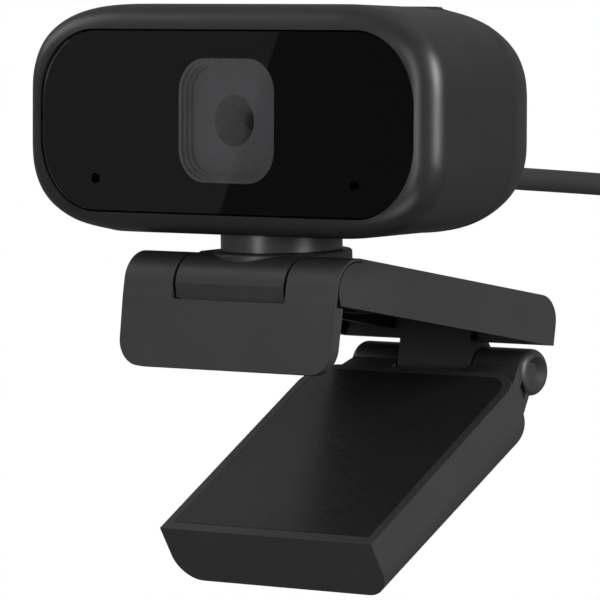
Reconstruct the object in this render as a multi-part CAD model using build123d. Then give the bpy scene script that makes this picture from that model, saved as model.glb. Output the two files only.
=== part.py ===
from build123d import *
import math
import os

os.makedirs("parts", exist_ok=True)

# ---------------------------------------------------------------- driving sizes, mm
# Head frame: X right, Y back, Z up, zero at the middle of the glass front.
HEAD_W = 97.1            # width of the head
HEAD_H = 42.2            # height of the head
HEAD_MID_Z = 0.48        # middle of the outline, above the middle of the glass
CORNER_X = 28.6          # outline corner, half axis across
CORNER_Z = 17.7          # outline corner, half axis up
CORNER_N = 2.9           # superellipse exponent of the corner
RIM_Y = -0.6             # front rim, proud of the glass
RIM_R = 4.65             # rounding of the front rim
DRAFT_X = 0.12           # draft of the sides, mm per mm
DRAFT_Z = 0.02           # draft of top and bottom
BACK_Y = 45.4            # rearmost point of the head
BACK_R = 19.3            # rounding of the back
WALL = 2.0               # wall of the mouldings
SEAM_Y = 2.9             # bezel to housing joint

GLASS_W = 88.9
GLASS_H = 33.8
GLASS_CORNER = 13.5
GLASS_T = 1.2
FILM_T = 0.15
BEZEL_BACK = 3.9         # rear face of the bezel plate
SURROUND = 22.7          # square lens surround, inside the film window
SURROUND_R = 6.2
LENS_Z = 0.3             # lens axis above the middle of the glass
MIC_X = 30.7
MIC_Z = -10.8
BOARD_Y = 24.0           # front of the main board
BOARD_T = 1.6

# Clip frame: Y back along the arm, Z up from the arm's top, zero at the lip's front.
LEAN = 8.863             # the clip leans back by this, degrees
ARM_HALF = 25.25
ARM_LEN = 66.5
ARM_LOW = -9.1           # bottom of the side walls
REST_Y = 9.5             # rest rib, where the monitor's edge lies
REST_Z = -9.6
HINGE_Y = 6.0            # lip pin
HINGE_Z = -6.0
LIP_LOW = -21.95
KINK_Z = -9.2
NOSE_HALF = 12.8
EAR_IN = 13.5            # inner end of the lip's ears
LEG_Y = 67.63            # leg pin
LEG_Z = -14.23
KNUCKLE_HALF = 8.5
KNUCKLE_R = 3.7          # around the leg pin
KNUCKLE_CUT = 2.0        # corner chamfer at the knuckle's bottom

# Leg frame: F from the pin toward the free end, N up.
LEG_SLOPE = 32.22        # below horizontal, at rest
LEG_TOP = 5.43
LEG_LOW = -6.45          # underside at the free end
LEG_LOW_REAR = -7.4      # underside at the hinge end
LEG_END = 62.0
BARREL_R = 4.45
BARREL_END = 21.0

# Neck, about an axis that leans forward.
NECK_LEAN = 2.3
NECK_R = 11.25
SEAT_R = 13.0
SEAT_FRONT = -8.4        # front of the straight part of the seat, neck frame
SPIGOT_R = 8.0
NECK_Y = 16.97           # head frame, where the axis meets the seat's top
SEAT_Z = -23.6
RUN = 0.05               # radial clearance of the pins

# Cord
CORD_D = 4.4
COIL_R = 26.5            # mean radius of the coil
COIL_DEEP = 4.6          # half thickness of the coil, two layers
COIL_HALF = 9.1          # half width of the coil, four turns

# Origin: middle of the rest rib's bottom. Head frame zero, seen from it.
HEAD_AT = (0, -10.657, 34.259)


# ---------------------------------------------------------------- helpers
def box(x0, x1, y0, y1, z0, z1):
    """Box between corner values."""
    size = Box(x1 - x0, y1 - y0, z1 - z0)
    return Pos((x0 + x1) / 2, (y0 + y1) / 2, (z0 + z1) / 2) * size


def cyl_x(radius, x0, x1, y, z):
    """Cylinder along X."""
    return Pos((x0 + x1) / 2, y, z) * Rot(0, 90, 0) * Cylinder(radius, abs(x1 - x0))


def cyl_y(radius, y0, y1, x=0, z=0):
    """Cylinder along Y."""
    return Pos(x, (y0 + y1) / 2, z) * Rot(90, 0, 0) * Cylinder(radius, abs(y1 - y0))


def cyl_z(radius, z0, z1, x=0, y=0):
    """Cylinder along Z."""
    return Pos(x, y, (z0 + z1) / 2) * Cylinder(radius, abs(z1 - z0))


def both_sides(shape):
    """The shape and its mirror image across X."""
    return shape + mirror(shape, Plane.YZ)


def profile_x(points, x0, x1):
    """Closed outline of (y, z) points and arcs, drawn out along X."""
    face = make_face(points)
    return Pos(x0, 0, 0) * extrude(Plane.YZ * face, x1 - x0)


def rounded_slab(width, height, corner, y0, y1, z=0):
    """Rounded rectangle seen from the front, from depth y0 to y1."""
    sketch = RectangleRounded(width, height, corner)
    solid = extrude(sketch, y1 - y0)
    return Pos(0, y1, z) * Rot(90, 0, 0) * solid


def at_head(shape):
    return Pos(*HEAD_AT) * shape


def at_clip(shape):
    return Rot(-LEAN, 0, 0) * Pos(0, -REST_Y, -REST_Z) * shape


def at_leg(shape):
    """From the leg frame, built with Y = -F and Z = N."""
    pin = at_clip(Pos(0, LEG_Y, LEG_Z))
    return Pos(0, pin.position.Y, pin.position.Z) * Rot(LEG_SLOPE, 0, 0) * shape


def at_neck(shape):
    """From the neck frame: zero on the seat's top, Z along the neck."""
    return at_head(Pos(0, NECK_Y, SEAT_Z) * Rot(NECK_LEAN, 0, 0) * shape)


def save(shape, name):
    print(name, "solids", len(shape.solids()), "volume", round(shape.volume, 1))
    export_step(shape, "parts/" + name + ".step")


# ---------------------------------------------------------------- head outline
def outline(y, wall):
    """Width, height and corner axes of the head at depth y, inset by wall."""
    inset = wall
    front_end = RIM_Y + RIM_R
    if wall == 0 and y < front_end:
        t = (y - RIM_Y) / RIM_R
        inset += RIM_R * (1 - math.sqrt(max(0, 1 - (1 - t) ** 2)))
    bend_start = BACK_Y - BACK_R
    if y > bend_start:
        radius = BACK_R - wall
        t = min(1, (y - bend_start) / radius)
        inset += radius * (1 - math.sqrt(1 - t * t))
    run = max(0, y - front_end)
    width = HEAD_W - 2 * inset - 2 * DRAFT_X * run
    height = HEAD_H - 2 * inset - 2 * DRAFT_Z * run
    corner_x = min(max(CORNER_X - inset, 1), width / 2 - 0.3)
    corner_z = min(max(CORNER_Z - inset, 1), height / 2 - 0.3)
    return width, height, corner_x, corner_z


def head_section(y, wall=0):
    """Face of the head's outline at depth y."""
    width, height, corner_x, corner_z = outline(y, wall)
    steps = 7
    edges = []
    ends = []
    for sx, sz in ((1, 1), (-1, 1), (-1, -1), (1, -1)):
        pts = []
        for i in range(steps + 1):
            angle = math.pi / 2 * i / steps
            cx = corner_x * math.cos(angle) ** (2 / CORNER_N)
            cz = corner_z * math.sin(angle) ** (2 / CORNER_N)
            x = sx * (width / 2 - corner_x + cx)
            z = sz * (height / 2 - corner_z + cz) + HEAD_MID_Z
            pts.append(Vector(x, y, z))
        pts[-1] = Vector(sx * (width / 2 - corner_x), y, sz * height / 2 + HEAD_MID_Z)
        tangents = [Vector(0, 0, sz), Vector(-sx, 0, 0)]
        if sx * sz < 0:
            pts.reverse()
            tangents = [Vector(sx, 0, 0), Vector(0, 0, -sz)]
        edges.append(Spline(*pts, tangents=tangents))
        ends.append((pts[0], pts[-1]))
    lines = []
    for i in range(4):
        lines.append(Line(ends[i][1], ends[(i + 1) % 4][0]))
    order = []
    for i in range(4):
        order.append(edges[i])
        order.append(lines[i])
    return Face(Wire(order))


def head_solid(wall, start):
    """Solid inside the head's outline, inset by wall, from depth start back."""
    bend_start = BACK_Y - BACK_R
    front_end = RIM_Y + RIM_R
    first = max(start, front_end)
    body = loft([head_section(first, wall), head_section(bend_start, wall)], ruled=True)
    dome = []
    for angle in (0, 14, 28, 41, 53, 64, 73, 80, 85):
        depth = bend_start + (BACK_R - wall) * math.sin(math.radians(angle))
        dome.append(head_section(depth, wall))
    body = body + loft(dome)
    if start < front_end:
        rim = []
        if wall == 0:
            for angle in (0, 14, 28, 42, 56, 72, 90):
                rim.append(head_section(RIM_Y + RIM_R * (1 - math.cos(math.radians(angle)))))
            body = body + loft(rim)
        else:
            rim = [head_section(start, wall), head_section(front_end, wall)]
            body = body + loft(rim, ruled=True)
    return body


head_outer = head_solid(0, RIM_Y)
head_inner = head_solid(WALL, SEAM_Y)

# ---------------------------------------------------------------- bezel, glass, surround
pocket_w = GLASS_W + 0.1
pocket_h = GLASS_H + 0.1
bezel = head_outer & box(-60, 60, -5, SEAM_Y, -40, 40)
lip_ring = head_inner & box(-60, 60, SEAM_Y, SEAM_Y + 3, -40, 40)
lip_core = head_solid(WALL + 1.2, SEAM_Y) & box(-60, 60, SEAM_Y - 1, SEAM_Y + 4, -40, 40)
plate_in = head_solid(WALL, SEAM_Y) & box(-60, 60, SEAM_Y, BEZEL_BACK, -40, 40)
bezel = bezel + (lip_ring - lip_core) + plate_in
bezel -= rounded_slab(pocket_w, pocket_h, GLASS_CORNER + 0.05, -5, GLASS_T + FILM_T)
frame_out = SURROUND + 1.8
bezel -= rounded_slab(frame_out + 0.1, frame_out + 0.1, SURROUND_R + 0.95, -5, 8, LENS_Z)
for side in (-1, 1):
    bezel -= cyl_y(1.1, 0, 8, side * MIC_X, MIC_Z)
SCREW_SPOTS = [(-38.5, -9.5), (38.5, -9.5), (-38.5, 9.5), (38.5, 9.5)]
for x, z in SCREW_SPOTS:
    bezel -= cyl_y(2.05, 0, GLASS_T + FILM_T + 1.3, x, z)
    bezel -= cyl_y(1.0, 0, 8, x, z)

glass = rounded_slab(GLASS_W, GLASS_H, GLASS_CORNER, 0, GLASS_T)
glass = chamfer(glass.edges().group_by(Axis.Y)[0], 0.3)
for side in (-1, 1):
    glass -= cyl_y(0.75, -1, 5, side * MIC_X, MIC_Z)
    glass -= cyl_y(1.1, -1, 0.35, side * MIC_X, MIC_Z)

film = rounded_slab(GLASS_W - 0.4, GLASS_H - 0.4, GLASS_CORNER - 0.2, GLASS_T, GLASS_T + FILM_T)
film -= rounded_slab(SURROUND, SURROUND, SURROUND_R, 0, 5, LENS_Z)
for side in (-1, 1):
    film -= cyl_y(0.75, -1, 5, side * MIC_X, MIC_Z)

face_y = GLASS_T + FILM_T
surround = rounded_slab(frame_out, frame_out, SURROUND_R + 0.9, face_y, face_y + 3.6, LENS_Z)
steps = 3
for i in range(steps):
    width = SURROUND - 2 * 0.55 * (i + 1)
    low = face_y + 0.75 * i
    cut = rounded_slab(width, width, SURROUND_R - 0.55 * (i + 1), low - 0.01, low + 0.75, LENS_Z)
    surround -= cut
floor_y = face_y + 0.75 * steps
throat_y = floor_y + 5.0
surround += cyl_y(6.2, floor_y, throat_y + 1.0, 0, LENS_Z)
horn = Pos(0, (floor_y + throat_y) / 2, LENS_Z) * Rot(90, 0, 0) * Cone(1.95, 4.7, throat_y - floor_y)
surround -= horn
surround -= cyl_y(1.95, throat_y - 0.1, throat_y + 2, 0, LENS_Z)

# ---------------------------------------------------------------- optics and board
BARREL_Y = throat_y + 1.1
barrel = cyl_y(5.0, BARREL_Y, 21.0, 0, LENS_Z)
barrel += cyl_y(6.0, BARREL_Y, BARREL_Y + 3.5, 0, LENS_Z)
barrel -= cyl_y(2.9, BARREL_Y - 1, BARREL_Y + 3.0, 0, LENS_Z)
barrel -= cyl_y(3.4, BARREL_Y + 3.0, 30, 0, LENS_Z)
dome_ball = Pos(0, BARREL_Y + 6.3, LENS_Z) * Sphere(6.3)
lens = cyl_y(2.9, BARREL_Y - 0.0, BARREL_Y + 3.0, 0, LENS_Z) & dome_ball
holder = box(-8, 8, 14.5, BOARD_Y, LENS_Z - 8, LENS_Z + 8)
holder -= cyl_y(5.0, 10, 21.0, 0, LENS_Z)
holder -= box(-5.5, 5.5, 21.0, BOARD_Y + 1, LENS_Z - 5.5, LENS_Z + 5.5)
ir_filter = box(-4.6, 4.6, 21.3, 21.6, LENS_Z - 4.6, LENS_Z + 4.6)
holder += box(-5.5, 5.5, 21.6, 22.1, LENS_Z - 5.5, LENS_Z + 5.5)
holder -= box(-3.2, 3.2, 21.0, 22.6, LENS_Z - 2.6, LENS_Z + 2.6)
sensor = box(-4.2, 4.2, BOARD_Y - 1.2, BOARD_Y, LENS_Z - 3.6, LENS_Z + 3.6)

board = box(-31, 31, BOARD_Y, BOARD_Y + BOARD_T, -12.5, 12.5)
board = chamfer(board.edges().filter_by(Axis.Y), 2)
BOARD_SPOTS = [(-27, -8.5), (27, -8.5), (-27, 8.5), (27, 8.5)]
for x, z in BOARD_SPOTS:
    board -= cyl_y(1.1, 0, 40, x, z)
board += box(-22, -14, BOARD_Y - 1.4, BOARD_Y, -4, 4)
board += box(13, 19, BOARD_Y - 1.0, BOARD_Y, 2, 8)
board += box(20, 24, BOARD_Y - 1.8, BOARD_Y, -6, -1)
socket = box(-6, 6, BOARD_Y + BOARD_T, BOARD_Y + BOARD_T + 5, -11.5, -6.5)
socket -= box(-5.2, 5.2, BOARD_Y + BOARD_T + 1, BOARD_Y + BOARD_T + 6, -10.8, -7.2)

board_screws = None
for x, z in BOARD_SPOTS:
    one = cyl_y(1.9, BOARD_Y - 1.3, BOARD_Y, x, z) + cyl_y(1.0, BOARD_Y, BOARD_Y + 6, x, z)
    one -= box(x - 1.1, x + 1.1, BOARD_Y - 2, BOARD_Y - 0.7, z - 0.25, z + 0.25)
    one -= box(x - 0.25, x + 0.25, BOARD_Y - 2, BOARD_Y - 0.7, z - 1.1, z + 1.1)
    board_screws = one if board_screws is None else board_screws + one

case_screws = None
seat_y = GLASS_T + FILM_T
for x, z in SCREW_SPOTS:
    one = cyl_y(2.0, seat_y + 0.1, seat_y + 1.3, x, z) + cyl_y(1.0, seat_y + 1.3, seat_y + 11, x, z)
    one -= box(x - 1.2, x + 1.2, seat_y - 1, seat_y + 0.7, z - 0.25, z + 0.25)
    one -= box(x - 0.25, x + 0.25, seat_y - 1, seat_y + 0.7, z - 1.2, z + 1.2)
    case_screws = one if case_screws is None else case_screws + one

boots = None
capsules = None
for side in (-1, 1):
    x = side * MIC_X
    boot = cyl_y(4.0, BEZEL_BACK, BEZEL_BACK + 4.2, x, MIC_Z)
    boot -= cyl_y(0.75, 0, 20, x, MIC_Z)
    boot -= cyl_y(3.0, BEZEL_BACK + 1.5, 20, x, MIC_Z)
    capsule = cyl_y(3.0, BEZEL_BACK + 1.5, BEZEL_BACK + 4.2, x, MIC_Z)
    boots = boot if boots is None else boots + boot
    capsules = capsule if capsules is None else capsules + capsule

# ---------------------------------------------------------------- housing
housing = (head_outer & box(-60, 60, SEAM_Y, 60, -40, 40)) - head_inner
for x, z in SCREW_SPOTS:
    housing += (cyl_y(3.0, BEZEL_BACK, 60, x, z) & head_inner)
    housing -= cyl_y(1.0, 0, seat_y + 11, x, z)
for x, z in BOARD_SPOTS:
    housing += (cyl_y(2.8, BOARD_Y + BOARD_T, 60, x, z) & head_inner)
    housing -= cyl_y(1.0, 0, BOARD_Y + 6, x, z)

# cord exit: axis falls slightly toward the back
EXIT_Y = 62.0
EXIT_Z = -10.25
CORD_FALL = math.degrees(math.atan2(1.45, 22))


def at_exit(shape):
    """From a frame with Z along the cord, zero at the end of the strain relief."""
    return Pos(0, EXIT_Y, EXIT_Z) * Rot(-90 - CORD_FALL, 0, 0) * shape


relief_hole = at_exit(cyl_z(3.9, -30, 0))
housing -= relief_hole
relief = at_exit(Pos(0, 0, -9.5) * Cone(4.8, 3.0, 19))
for i in range(5):
    ring = cyl_z(7, -16.2 + 2.9 * i, -15.2 + 2.9 * i) - cyl_z(3.5 - 0.18 * i, -17, 0)
    relief -= at_exit(ring)
relief -= head_outer
relief += at_exit(cyl_z(3.9, -24, -17)) & head_outer
relief += at_exit(cyl_z(5.6, -26, -23.5)) & head_inner
relief -= at_exit(cyl_z(CORD_D / 2, -0.0, 5))
for_neck = [(-6.2, 0), (6.2, 0)]
for x, y in for_neck:
    housing -= Pos(0, NECK_Y, SEAT_Z) * Rot(NECK_LEAN, 0, 0) * cyl_z(1.3, 0, 8, x, y)

# ---------------------------------------------------------------- neck and swivel
NECK_GAP = 0.15
neck_head = Pos(0, NECK_Y, SEAT_Z) * Rot(NECK_LEAN, 0, 0) * cyl_z(NECK_R, NECK_GAP, 8)
neck_head = neck_head & box(-20, 20, 0, 40, -40, -19)
neck_head -= head_outer
neck = at_head(neck_head) + at_neck(cyl_z(SPIGOT_R, -5.75, NECK_GAP))
neck -= at_neck(cyl_z(1.5, -7, 1.5))
neck -= at_neck(cyl_z(6.4, -1.2, 0.6) - cyl_z(3.2, -2, 2))
for x, y in for_neck:
    neck -= at_neck(cyl_z(1.0, 0.8, 8, x, y))
neck_screws = None
for x, y in for_neck:
    one = cyl_z(2.3, 5.4, 6.8, x, y) + cyl_z(1.0, 0.8, 5.4, x, y)
    neck_screws = one if neck_screws is None else neck_screws + one
neck_screws = at_neck(neck_screws)

washer = at_neck(cyl_z(9.8, -6.35, -5.75) - cyl_z(1.6, -7, -5))
pan_screw = at_neck(cyl_z(4.0, -7.9, -6.35) + cyl_z(1.5, -6.35, 1.4))
pan_screw -= at_neck(box(-2.4, 2.4, -0.4, 0.4, -9, -7.0) + box(-0.4, 0.4, -2.4, 2.4, -9, -7.0))

# ---------------------------------------------------------------- arm
arm = box(-ARM_HALF, ARM_HALF, 6.3, ARM_LEN, ARM_LOW, 0)
rear_top = arm.edges().filter_by(Axis.X).group_by(Axis.Y)[-1].sort_by(Axis.Z)[-1]
arm = fillet(rear_top, 5)
arm -= box(-ARM_HALF + WALL, ARM_HALF - WALL, 4, ARM_LEN - WALL - 0.3, -20, -WALL)
EAR_R = 6.0
EAR_T = 1.25
SKIN_R = 5.45            # inside of the ear, where it covers the side wall's front
HINGE_R = SKIN_R - 0.25
side_disc = cyl_x(HINGE_R, ARM_HALF - WALL, ARM_HALF, HINGE_Y, HINGE_Z)
side_disc = side_disc & box(0, 60, -5, 30, ARM_LOW, 0)
side_web = box(ARM_HALF - WALL, ARM_HALF, HINGE_Y, 8, ARM_LOW, -1)
lug = cyl_x(3.0, 17.4, 20.4, HINGE_Y, HINGE_Z) + box(17.4, 20.4, HINGE_Y + 0.3, 10, HINGE_Z, -1)
arm += both_sides(side_disc + side_web + lug)
nose_pts = Polyline((6.35, -WALL - 0.01), (6.35, 0), (6, 0))
nose_top = nose_pts + ThreePointArc((6, 0), (6 - 6 * math.sin(math.pi / 4), -6 + 6 * math.cos(math.pi / 4)), (0, -6))
nose_low = Polyline((0, -6), (0, -6.4), (0.75, -9.0), (2.6, -9.0), (2.2, -6.4), (2.0, -6.0))
nose_in = ThreePointArc((2.0, -6), (6 - 4 * math.sin(math.pi / 4), -6 + 4 * math.cos(math.pi / 4)), (6, -2))
nose_end = Line((6, -2), (6.35, -WALL - 0.01))
arm += profile_x(nose_top + nose_low + nose_in + nose_end, -NOSE_HALF, NOSE_HALF)
# cheeks that tie the nose to the top plate
cheek = Polyline((2.4, -6.2), (3.2, -3.0), (6.0, -1.5), (12, -1.5), (12, -7.5), (3.0, -7.5), close=True)
arm += both_sides(profile_x(cheek, NOSE_HALF - 1.6, NOSE_HALF))
# rest rib and long ribs
arm += box(-18, 18, REST_Y - 0.8, REST_Y + 0.8, REST_Z + 0.8, -1)
for x in (-12, 12):
    arm += box(x - 0.6, x + 0.6, 28, ARM_LEN - 1, -7.5, -1)
arm += box(-ARM_HALF + 1, ARM_HALF - 1, 44.4, 45.6, -6.5, -1)
# seat of the neck
seat = cyl_z(SEAT_R, -3.4, 0) + box(-SEAT_R, SEAT_R, SEAT_FRONT, 0, -3.4, 0)
seat = fillet(seat.edges().group_by(Axis.Z)[-1], 0.5)
arm_seat = at_neck(seat)
arm_seat += at_neck(cyl_z(10.6, -5.6, -3.0))
# knuckle
knuckle_pts = [(62.5, -1), (62.5, -15.4), (64.6, LEG_Z - KNUCKLE_R), (LEG_Y, LEG_Z - KNUCKLE_R)]
knuckle_low = Polyline(*knuckle_pts)
angle45 = math.radians(-45)
knuckle_arc = ThreePointArc(
    (LEG_Y, LEG_Z - KNUCKLE_R),
    (LEG_Y + KNUCKLE_R * math.cos(angle45), LEG_Z + KNUCKLE_R * math.sin(angle45)),
    (LEG_Y + KNUCKLE_R, LEG_Z),
)
knuckle_top = Polyline((LEG_Y + KNUCKLE_R, LEG_Z), (LEG_Y + KNUCKLE_R, -12.2), (66.5, -7.0), (66.2, -1), (62.5, -1))
knuckle = profile_x(knuckle_low + knuckle_arc + knuckle_top, -KNUCKLE_HALF, KNUCKLE_HALF)
for side in (-1, 1):
    cut = Pos(side * KNUCKLE_HALF, LEG_Y, LEG_Z - KNUCKLE_R) * Rot(0, 45, 0)
    cut = cut * Box(KNUCKLE_CUT * math.sqrt(2), 30, KNUCKLE_CUT * math.sqrt(2))
    knuckle -= cut
arm += knuckle
arm -= box(-5.5, 5.5, 64.2, 65.2, -9, -6)
arm = at_clip(arm) + arm_seat
arm -= at_neck(cyl_z(SPIGOT_R + RUN, -8, 2))
arm -= at_neck(cyl_z(10.3, -8.4, -5.6))
LIP_PIN_R = 1.0
LEG_PIN_R = 1.5
arm -= at_clip(both_sides(cyl_x(LIP_PIN_R, 13.8, 24.2, HINGE_Y, HINGE_Z)))
arm -= at_clip(cyl_x(LEG_PIN_R, -19.0, 19.0, LEG_Y, LEG_Z))

rest_pad = at_clip(box(-17.5, 17.5, REST_Y - 0.8, REST_Y + 0.8, REST_Z, REST_Z + 0.8))
lip_pins = at_clip(both_sides(cyl_x(LIP_PIN_R, 14.0, 24.2, HINGE_Y, HINGE_Z)))
leg_pin = at_clip(cyl_x(LEG_PIN_R, -18.8, 18.8, LEG_Y, LEG_Z))

# ---------------------------------------------------------------- lip
TAPER = 0.65             # the lip's front leans in toward its lower edge
COVER_T = EAR_T
lip_front = Polyline((0, HINGE_Z), (0, KINK_Z), (TAPER, LIP_LOW), (COVER_T, LIP_LOW), (COVER_T, HINGE_Z), close=True)
cover = profile_x(lip_front, -ARM_HALF, ARM_HALF)
cover -= box(-EAR_IN, EAR_IN, -5, 10, KINK_Z - 0.1, 5)
ring = cyl_x(EAR_R, EAR_IN, ARM_HALF, HINGE_Y, HINGE_Z) - cyl_x(EAR_R - EAR_T, 0, 40, HINGE_Y, HINGE_Z)
ear = ring & box(0, 40, -5, HINGE_Y, HINGE_Z, 5)
lip_lug = cyl_x(2.4, 14.0, 17.0, HINGE_Y, HINGE_Z)
lip_lug += box(14.0, 17.0, 0.8, HINGE_Y, HINGE_Z - 2.2, HINGE_Z + 2.2)
cover += both_sides(ear + lip_lug)
cover -= both_sides(cyl_x(LIP_PIN_R + RUN, 13, 18, HINGE_Y, HINGE_Z))
skin_cut = cyl_x(SKIN_R, ARM_HALF - WALL - 0.35, 30, HINGE_Y, HINGE_Z)
skin_cut += box(ARM_HALF - WALL - 0.35, 30, HINGE_Y - SKIN_R, 8, -9.6, HINGE_Z)
cover -= both_sides(skin_cut)
lip_mask = extrude(RectangleRounded(2 * ARM_HALF, 60, 5), 20)
lip_mask = Pos(0, 10, LIP_LOW + 30) * Rot(90, 0, 0) * lip_mask
cover = cover & lip_mask
BACK_FACE = 2.4
back = box(-ARM_HALF, ARM_HALF, COVER_T, BACK_FACE, LIP_LOW, -9.6) & lip_mask
pad_pocket = box(-21, 21, 1.9, 4, -20, -11.6)
back -= pad_pocket
lip_pad = box(-20.9, 20.9, 1.9, 2.5, -19.9, -11.7)
cover = at_clip(cover)
back = at_clip(back)
lip_pad = at_clip(lip_pad)

# ---------------------------------------------------------------- leg (Y = -F, Z = N)
side_view = Polyline(
    (-8.0, LEG_TOP), (-8.0, LEG_LOW_REAR), (-LEG_END, LEG_LOW), (-LEG_END, LEG_TOP), close=True
)
leg = profile_x(side_view, -ARM_HALF, ARM_HALF)
leg = fillet(leg.edges().filter_by(Axis.Z).group_by(Axis.Y)[-1], 6.5)
under = []
for edge in leg.edges():
    middle = edge.center()
    if middle.Z < LEG_LOW + 1.5 and middle.Y > -LEG_END + 0.5:
        under.append(edge)
leg = fillet(under, 5.5)
PAD_X = 23.3
PAD_REAR = 9.5
PAD_FRONT = 59.9
PAD_T = 1.5


def pad_plate(grow, low, high):
    """Pad outline, rear corners rounded, front corners sharp."""
    x1 = PAD_X + grow
    rear = -PAD_REAR + grow
    front = -PAD_FRONT - grow
    plate = box(-x1, x1, front, rear, low, high)
    corners = plate.edges().filter_by(Axis.Z).group_by(Axis.Y)[-1]
    return fillet(corners, 5)


leg -= pad_plate(0.0, LEG_TOP - PAD_T, LEG_TOP + 2)
hollow = RectangleRounded(43, 40, 3.5)
hollow = Pos(0, -15.0, LEG_LOW + WALL + 20) * Rot(90, 0, 0) * extrude(hollow, 43)
leg -= hollow
for x in (-8, 8):
    leg += box(x - 0.6, x + 0.6, -59, -14, LEG_LOW + 1, LEG_TOP - PAD_T)
web = box(-20, 20, -9.3, 0, -3.1, 3.55)
barrel_leg = cyl_x(BARREL_R, -BARREL_END, BARREL_END, 0, 0)
barrel_leg = fillet(barrel_leg.edges().filter_by(GeomType.CIRCLE), 1.5)
gusset_plan = Polyline((19.5, -14), (ARM_HALF - 0.6, -14), (20.0, -3), (19.5, -3), close=True)
gusset = Pos(0, 0, -3.1) * extrude(make_face(gusset_plan), 6.65)
hinge_part = web + barrel_leg + both_sides(gusset)
hinge_part -= box(-8.9, 8.9, -5.8, 8, -8, 8)
end_cup = Pos(BARREL_END - 0.7, 0, 0) * Rot(0, 90, 0) * Cone(1.9, 3.0, 1.4)
end_notch = box(19.5, 25, -6.5, -4.0, -1.8, 0.8)
hinge_part -= both_sides(end_cup + end_notch)
leg += hinge_part
leg -= cyl_x(LEG_PIN_R + RUN, -18.9, 18.9, 0, 0)
leg_pad = pad_plate(-0.12, LEG_TOP - PAD_T, LEG_TOP)
leg = at_leg(leg)
leg_pad = at_leg(leg_pad)

# ---------------------------------------------------------------- cord
ROUTE = [(62.0, -10.25), (84.0, -11.7), (110.0, -13.25), (134.0, -14.85), (152.0, -24.0), (160.0, -44.0), (160.0, -62.0)]
DROP_Y = ROUTE[-1][0]
COIL_AT = (DROP_Y + COIL_R, -62.0)
points = []
for y, z in ROUTE:
    points.append(Vector(0, y, z))
radii = []
for i in range(1, len(points) - 1):
    before = points[i] - points[i - 1]
    after = points[i + 1] - points[i]
    turn = math.radians(before.get_angle(after))
    radii.append(round(0.45 * min(before.length, after.length) / math.tan(turn / 2), 3))
print("cord bend radii", radii)
path = FilletPolyline(*points, radius=radii)
start_plane = Plane(origin=points[0], z_dir=points[1] - points[0])
lead = sweep(start_plane * Circle(CORD_D / 2), path)
print("cord lead length", round(path.length, 1), "volume ratio", round(lead.volume / (path.length * math.pi * (CORD_D / 2) ** 2), 4))
coil = Rot(0, 90, 0) * (Cylinder(COIL_R + COIL_DEEP, 2 * COIL_HALF) - Cylinder(COIL_R - COIL_DEEP, 50))
tie = Rot(0, 90, 0) * (Cylinder(COIL_R + COIL_DEEP + 0.9, 2 * COIL_HALF + 1.8) - Cylinder(COIL_R - COIL_DEEP - 0.9, 50))
tie = (tie - coil) & box(-20, 20, -5, 5, 0, 60)
coil = Pos(0, COIL_AT[0], COIL_AT[1]) * coil
tie = Pos(0, COIL_AT[0], COIL_AT[1]) * tie
lead -= coil
PLUG_X = 0.0
PLUG_TOP = -96.0
tail = cyl_z(CORD_D / 2, PLUG_TOP, -66.0, PLUG_X, DROP_Y) - coil
plug_boot = Pos(PLUG_X, DROP_Y, PLUG_TOP - 5) * Cone(4.0, 2.9, 10)
plug_body = Pos(PLUG_X, DROP_Y, PLUG_TOP - 10) * extrude(RectangleRounded(8.4, 16.0, 2.2), -22)
shell_low = PLUG_TOP - 32
plug_shell = box(PLUG_X - 2.25, PLUG_X + 2.25, DROP_Y - 6, DROP_Y + 6, shell_low - 19, shell_low)
plug_shell -= box(PLUG_X - 1.95, PLUG_X + 1.95, DROP_Y - 5.7, DROP_Y + 5.7, shell_low - 20, shell_low - 0.5)
plug_tongue = box(PLUG_X - 1.9, PLUG_X - 0.1, DROP_Y - 5.6, DROP_Y + 5.6, shell_low - 18, shell_low - 0.5)

# ---------------------------------------------------------------- export
save(at_head(bezel), "front_bezel")
save(at_head(glass), "front_glass")
save(at_head(film), "mask_film")
save(at_head(surround), "lens_surround")
save(at_head(barrel), "lens_barrel")
save(at_head(lens), "lens_front_element")
save(at_head(holder), "lens_holder")
save(at_head(ir_filter), "ir_filter")
save(at_head(sensor), "image_sensor")
save(at_head(board), "main_board")
save(at_head(socket), "cord_socket")
save(at_head(board_screws), "board_screws")
save(at_head(case_screws), "case_screws")
save(at_head(boots), "mic_boots")
save(at_head(capsules), "mic_capsules")
save(at_head(housing), "rear_housing")
save(at_head(relief), "strain_relief")
save(neck, "neck_post")
save(neck_screws, "neck_screws")
save(washer, "swivel_washer")
save(pan_screw, "swivel_screw")
save(arm, "arm_shell")
save(rest_pad, "rest_pad")
save(lip_pins, "lip_pins")
save(leg_pin, "leg_pin")
save(cover, "lip_cover")
save(back, "lip_back")
save(lip_pad, "lip_pad")
save(leg, "leg_shell")
save(leg_pad, "leg_pad")
save(at_head(lead), "cord_lead")
save(at_head(coil), "cord_coil")
save(at_head(tie), "cord_tie")
save(at_head(tail), "cord_tail")
save(at_head(plug_boot), "plug_boot")
save(at_head(plug_body), "plug_body")
save(at_head(plug_shell), "plug_shell")
save(at_head(plug_tongue), "plug_tongue")
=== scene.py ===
import math

import bpy
from mathutils import Euler, Matrix, Quaternion, Vector


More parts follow.
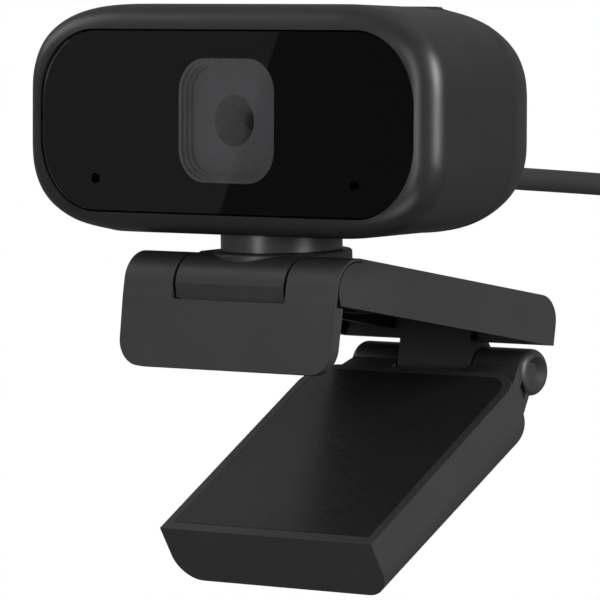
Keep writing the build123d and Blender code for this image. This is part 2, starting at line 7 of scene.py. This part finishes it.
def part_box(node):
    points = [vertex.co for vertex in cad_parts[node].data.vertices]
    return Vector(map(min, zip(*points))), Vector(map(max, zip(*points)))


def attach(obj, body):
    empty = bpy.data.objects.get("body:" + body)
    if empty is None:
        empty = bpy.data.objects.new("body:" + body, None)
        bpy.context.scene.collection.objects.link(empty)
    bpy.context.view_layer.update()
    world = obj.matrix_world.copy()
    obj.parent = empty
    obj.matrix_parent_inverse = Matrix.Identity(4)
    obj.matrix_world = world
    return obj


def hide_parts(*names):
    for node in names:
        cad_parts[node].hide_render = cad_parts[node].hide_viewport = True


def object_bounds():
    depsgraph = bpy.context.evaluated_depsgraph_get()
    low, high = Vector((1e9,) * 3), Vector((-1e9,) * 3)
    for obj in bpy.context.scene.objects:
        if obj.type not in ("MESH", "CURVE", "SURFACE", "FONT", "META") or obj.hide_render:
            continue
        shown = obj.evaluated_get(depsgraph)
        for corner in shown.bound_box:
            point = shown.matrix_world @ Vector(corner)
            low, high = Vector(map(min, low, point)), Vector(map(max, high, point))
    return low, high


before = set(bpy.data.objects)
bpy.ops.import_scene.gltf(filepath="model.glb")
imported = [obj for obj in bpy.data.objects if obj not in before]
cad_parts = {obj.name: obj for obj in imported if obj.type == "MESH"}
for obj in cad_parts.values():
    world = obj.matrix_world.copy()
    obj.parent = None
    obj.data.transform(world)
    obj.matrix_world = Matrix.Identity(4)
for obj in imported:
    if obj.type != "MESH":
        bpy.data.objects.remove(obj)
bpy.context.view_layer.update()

MM = 0.001
scene = bpy.context.scene

# Head frame: zero at the middle of the glass front, as in the part.
glass_low, glass_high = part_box("front_glass")
HEAD = Vector((0, glass_low.y, (glass_low.z + glass_high.z) / 2))


def head_point(x, y, z):
    """Point given in millimetres in the head frame."""
    return HEAD + Vector((x, y, z)) * MM


# ---------------------------------------------------------------- camera
CAMERA_AT = head_point(650.7, -773.4, 19.6)
AIM_RIGHT = math.radians(0.794)
AIM_DOWN = math.radians(1.827)
ROLL = math.radians(0.174)


def make_camera():
    data = bpy.data.cameras.new("camera")
    data.lens = 333.6
    data.sensor_width = 36
    data.clip_start = 0.05
    data.clip_end = 60
    camera = bpy.data.objects.new("camera", data)
    scene.collection.objects.link(camera)
    camera.location = CAMERA_AT
    aim = (HEAD - CAMERA_AT).to_track_quat("-Z", "Y")
    nudge = Euler((-AIM_DOWN, -AIM_RIGHT, ROLL), "YXZ").to_quaternion()
    camera.rotation_mode = "QUATERNION"
    camera.rotation_quaternion = aim @ nudge
    scene.camera = camera


make_camera()

# ---------------------------------------------------------------- cord route, head frame, mm
CORD_D = 4.4
ROUTE = [(62.0, -10.25), (84.0, -11.7), (110.0, -13.25), (134.0, -14.85), (152.0, -24.0), (160.0, -44.0)]
DROP_Y = 160.0
COIL_R = 26.5
COIL_Y = DROP_Y + COIL_R
COIL_Z = -62.0
TURNS = 8
PER_TURN = 14
PITCH = 4.5
TAIL = [(DROP_Y, -80.0), (DROP_Y, -96.0)]


def cord_points():
    """The given route, the coil's turns in two layers, and the tail to the plug."""
    points = []
    for y, z in ROUTE:
        points.append(head_point(0, y, z))
    per_layer = TURNS // 2
    half = (per_layer - 1) / 2
    for step in range(TURNS * PER_TURN + 1):
        turn = step / PER_TURN
        angle = math.pi + 2 * math.pi * turn
        outer = min(1, max(0, (turn - per_layer + 0.5) * 2))
        radius = COIL_R + PITCH * (outer - 0.5)
        along = turn if turn < per_layer else TURNS - turn
        x = PITCH * (min(along, per_layer - 0.5) * 2 * half / (per_layer - 0.5) - half)
        ends = min(1, 2 * turn, 2 * (TURNS - turn))
        y = COIL_Y + radius * math.cos(angle)
        z = COIL_Z + radius * math.sin(angle)
        points.append(head_point(x * ends, y, z))
    for y, z in TAIL:
        points.append(head_point(0, y, z))
    return points


def make_cord():
    data = bpy.data.curves.new("cord", "CURVE")
    data.dimensions = "3D"
    # the radius sits on the points, because a curve's box is padded by it
    data.bevel_depth = 1
    data.bevel_resolution = 6
    data.use_fill_caps = True
    data.resolution_u = 6
    points = cord_points()
    spline = data.splines.new("NURBS")
    spline.points.add(len(points) - 1)
    for place, point in zip(spline.points, points):
        place.co = (*point, 1)
        place.radius = CORD_D / 2 * MM
    spline.order_u = 3
    spline.use_endpoint_u = True
    cord = bpy.data.objects.new("cord", data)
    scene.collection.objects.link(cord)
    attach(cord, "head")
    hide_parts("cord_lead", "cord_coil", "cord_tail")
    return cord


cord = make_cord()


# ---------------------------------------------------------------- materials
def new_material(name):
    material = bpy.data.materials.new(name)
    material.use_nodes = True
    tree = material.node_tree
    shader = tree.nodes["Principled BSDF"]
    coords = tree.nodes.new("ShaderNodeTexCoord")
    return material, tree, shader, coords.outputs["Object"]


def noise(tree, coords, scale, detail=4, roughness=0.6):
    node = tree.nodes.new("ShaderNodeTexNoise")
    tree.links.new(coords, node.inputs["Vector"])
    node.inputs["Scale"].default_value = scale
    node.inputs["Detail"].default_value = detail
    node.inputs["Roughness"].default_value = roughness
    return node.outputs["Fac"]


def ramp(tree, value, low, high, start=0.3, end=0.7):
    """Colour ramp from low to high; grey values or rgb."""
    node = tree.nodes.new("ShaderNodeValToRGB")
    tree.links.new(value, node.inputs["Fac"])
    for stop, place, shade in zip(node.color_ramp.elements, (start, end), (low, high)):
        stop.position = place
        rgb = shade if isinstance(shade, tuple) else (shade, shade, shade)
        stop.color = (*rgb, 1)
    return node.outputs["Color"]


def bump(tree, shader, height, strength, distance=0.0002):
    node = tree.nodes.new("ShaderNodeBump")
    node.inputs["Strength"].default_value = strength
    node.inputs["Distance"].default_value = distance
    tree.links.new(height, node.inputs["Height"])
    tree.links.new(node.outputs["Normal"], shader.inputs["Normal"])


def plastic(name, dark, light, rough, grain=5200, strength=0.25, spec=0.5):
    """Moulded plastic with a fine spark grain and a slow change of tone."""
    material, tree, shader, coords = new_material(name)
    slow = noise(tree, coords, 60)
    fine = noise(tree, coords, grain, 3)
    tree.links.new(ramp(tree, slow, dark, light), shader.inputs["Base Color"])
    tree.links.new(ramp(tree, fine, rough - 0.05, rough + 0.07), shader.inputs["Roughness"])
    shader.inputs["Specular IOR Level"].default_value = spec
    bump(tree, shader, fine, strength, 0.00004)
    return material


def metal(name, tone, rough):
    material, tree, shader, coords = new_material(name)
    fine = noise(tree, coords, 2600)
    tree.links.new(ramp(tree, fine, tone * 0.85, tone), shader.inputs["Base Color"])
    tree.links.new(ramp(tree, fine, rough - 0.06, rough + 0.08), shader.inputs["Roughness"])
    shader.inputs["Metallic"].default_value = 1
    bump(tree, shader, fine, 0.1, 0.00003)
    return material


def pane(name, tint, rough):
    """Clear pane or lens with a hint of dust in its gloss."""
    material, tree, shader, coords = new_material(name)
    fine = noise(tree, coords, 900)
    shader.inputs["Base Color"].default_value = (*tint, 1)
    shader.inputs["Transmission Weight"].default_value = 1
    shader.inputs["IOR"].default_value = 1.35
    tree.links.new(ramp(tree, fine, rough, rough + 0.02), shader.inputs["Roughness"])
    return material


def board_green():
    material, tree, shader, coords = new_material("board_green")
    traces = noise(tree, coords, 700, 1)
    tone = ramp(tree, traces, (0.012, 0.06, 0.03), (0.02, 0.12, 0.06), 0.48, 0.52)
    tree.links.new(tone, shader.inputs["Base Color"])
    shader.inputs["Roughness"].default_value = 0.35
    bump(tree, shader, traces, 0.3, 0.00003)
    return material


MATERIALS = {
    "head_black": plastic("head_black", 0.014, 0.017, 0.38),
    "clip_black": plastic("clip_black", 0.026, 0.032, 0.46, 3800, 0.35),
    "arm_black": plastic("arm_black", 0.025, 0.03, 0.4, 3800, 0.3),
    "neck_black": plastic("neck_black", 0.045, 0.052, 0.33, 3000, 0.2),
    "lip_black": plastic("lip_black", 0.024, 0.03, 0.5, 2600, 0.6),
    "gloss_black": plastic("gloss_black", 0.008, 0.009, 0.1, 2000, 0.02),
    "pad_black": plastic("pad_black", 0.013, 0.015, 0.26, 900, 0.01),
    # painted light: the lens surround's grey is painted lighter than the real part, standing in for the
    # light that the glass pane keeps from it
    "surround_grey_painted_light": plastic("surround_grey_painted_light", 0.15, 0.17, 0.25),
    "soft_black": plastic("soft_black", 0.018, 0.022, 0.6),
    "cord_black": plastic("cord_black", 0.02, 0.024, 0.5),
    "cream_plastic": plastic("cream_plastic", (0.6, 0.57, 0.48), (0.66, 0.63, 0.54), 0.4),
    "sensor_black": plastic("sensor_black", 0.01, 0.014, 0.12, 1500, 0.02),
    "steel": metal("steel", 0.6, 0.3),
    "aluminium": metal("aluminium", 0.8, 0.25),
    "cover_glass": pane("cover_glass", (0.62, 0.62, 0.64), 0.0),
    "lens_glass": pane("lens_glass", (0.75, 0.8, 0.95), 0.0),
    "board_green": board_green(),
}

LOOKS = {
    "front_bezel": "head_black",
    "rear_housing": "head_black",
    "front_glass": "cover_glass",
    "mask_film": "gloss_black",
    "lens_surround": "surround_grey_painted_light",
    "lens_barrel": "gloss_black",
    "lens_front_element": "lens_glass",
    "ir_filter": "lens_glass",
    "lens_holder": "clip_black",
    "image_sensor": "sensor_black",
    "main_board": "board_green",
    "cord_socket": "cream_plastic",
    "board_screws": "steel",
    "case_screws": "steel",
    "neck_screws": "steel",
    "mic_boots": "soft_black",
    "mic_capsules": "aluminium",
    "strain_relief": "soft_black",
    "neck_post": "neck_black",
    "swivel_washer": "steel",
    "swivel_screw": "steel",
    "arm_shell": "arm_black",
    "rest_pad": "soft_black",
    "lip_pins": "steel",
    "leg_pin": "steel",
    "lip_cover": "lip_black",
    "lip_back": "clip_black",
    "lip_pad": "soft_black",
    "leg_shell": "clip_black",
    "leg_pad": "pad_black",
    "cord_tie": "soft_black",
    "plug_boot": "soft_black",
    "plug_body": "head_black",
    "plug_shell": "aluminium",
    "plug_tongue": "cream_plastic",
}


def dress():
    for name, look in LOOKS.items():
        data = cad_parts[name].data
        data.materials.clear()
        data.materials.append(MATERIALS[look])
    cord.data.materials.append(MATERIALS["cord_black"])


dress()


# ---------------------------------------------------------------- studio
# name, offset from the part's middle, width, height (metres), power (watts)
LIGHTS = [
    ("key_left", (-1.7, -0.5, 0.9), 0.7, 1.0, 6),
    ("top", (0.1, 0.3, 1.4), 1.2, 1.2, 1.5),
    ("right", (1.5, -0.25, 0.5), 0.6, 1.0, 32),
    ("front_strip", (-0.16, -1.5, 0.12), 0.14, 0.9, 7),
    ("low_fill", (-0.1, -1.1, -1.0), 0.9, 0.5, 5),
]
CARD_FAR = 1.2
CARD_SIZE = 0.3
CARD_POWER = 0.07
CARD_TILT = -18
FLOOR_SIZE = 6
FLOOR_DROP = 0.5         # the part is held up, and the floor stays under the photograph's view


def area_light(name, place, aim, width, height, power):
    data = bpy.data.lights.new(name, "AREA")
    data.shape = "RECTANGLE"
    data.size = width
    data.size_y = height
    data.energy = power
    light = bpy.data.objects.new(name, data)
    scene.collection.objects.link(light)
    light.location = place
    light.rotation_mode = "QUATERNION"
    light.rotation_quaternion = (aim - place).to_track_quat("-Z", "Y")
    return light


def reflection_card():
    """Faint card that the pane reflects on its left; the card's edge is the pane's diagonal."""
    edge_at = head_point(6.4, 0, 0.6)
    mirrored = Vector((CAMERA_AT.x, 2 * HEAD.y - CAMERA_AT.y, CAMERA_AT.z))
    away = (edge_at - mirrored).normalized()
    tilt = Quaternion(away, math.radians(CARD_TILT))
    side = tilt @ away.cross(Vector((0, 0, 1))).normalized()
    if side.x > 0:
        side = -side
    place = edge_at + away * CARD_FAR + side * CARD_SIZE / 2
    card = area_light("pane_card", place, edge_at, CARD_SIZE, CARD_SIZE, CARD_POWER)
    up = away.cross(side)
    card.rotation_quaternion = Matrix((side, up, away)).transposed().to_quaternion()


def make_world():
    world = bpy.data.worlds.new("studio")
    scene.world = world
    world.use_nodes = True
    tree = world.node_tree
    back = tree.nodes["Background"]
    coords = tree.nodes.new("ShaderNodeTexCoord")
    split = tree.nodes.new("ShaderNodeSeparateXYZ")
    tree.links.new(coords.outputs["Generated"], split.inputs["Vector"])
    tone = ramp(tree, split.outputs["Z"], 0.16, 0.3, 0.0, 1.0)
    path = tree.nodes.new("ShaderNodeLightPath")
    mix = tree.nodes.new("ShaderNodeMix")
    mix.data_type = "RGBA"
    tree.links.new(path.outputs["Is Camera Ray"], mix.inputs["Factor"])
    tree.links.new(tone, mix.inputs["A"])
    mix.inputs["B"].default_value = (1, 1, 1, 1)
    tree.links.new(mix.outputs["Result"], back.inputs["Color"])
    back.inputs["Strength"].default_value = 1


def make_floor():
    low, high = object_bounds()
    bpy.ops.mesh.primitive_plane_add(size=FLOOR_SIZE, location=(0, 0, low.z - FLOOR_DROP))
    floor = bpy.context.object
    floor.name = "floor"
    material, tree, shader, coords = new_material("floor_white")
    tone = ramp(tree, noise(tree, coords, 3), 0.93, 0.95)
    tree.links.new(tone, shader.inputs["Base Color"])
    shader.inputs["Roughness"].default_value = 0.9
    tree.links.new(tone, shader.inputs["Emission Color"])
    shader.inputs["Emission Strength"].default_value = 0.55
    floor.data.materials.append(material)
    floor.visible_diffuse = False
    floor.visible_glossy = False


scene.view_settings.view_transform = "Standard"
make_world()
make_floor()
centre = head_point(0, 30, -30)
reflection_card()
for name, offset, width, height, power in LIGHTS:
    area_light(name, centre + Vector(offset), centre, width, height, power)
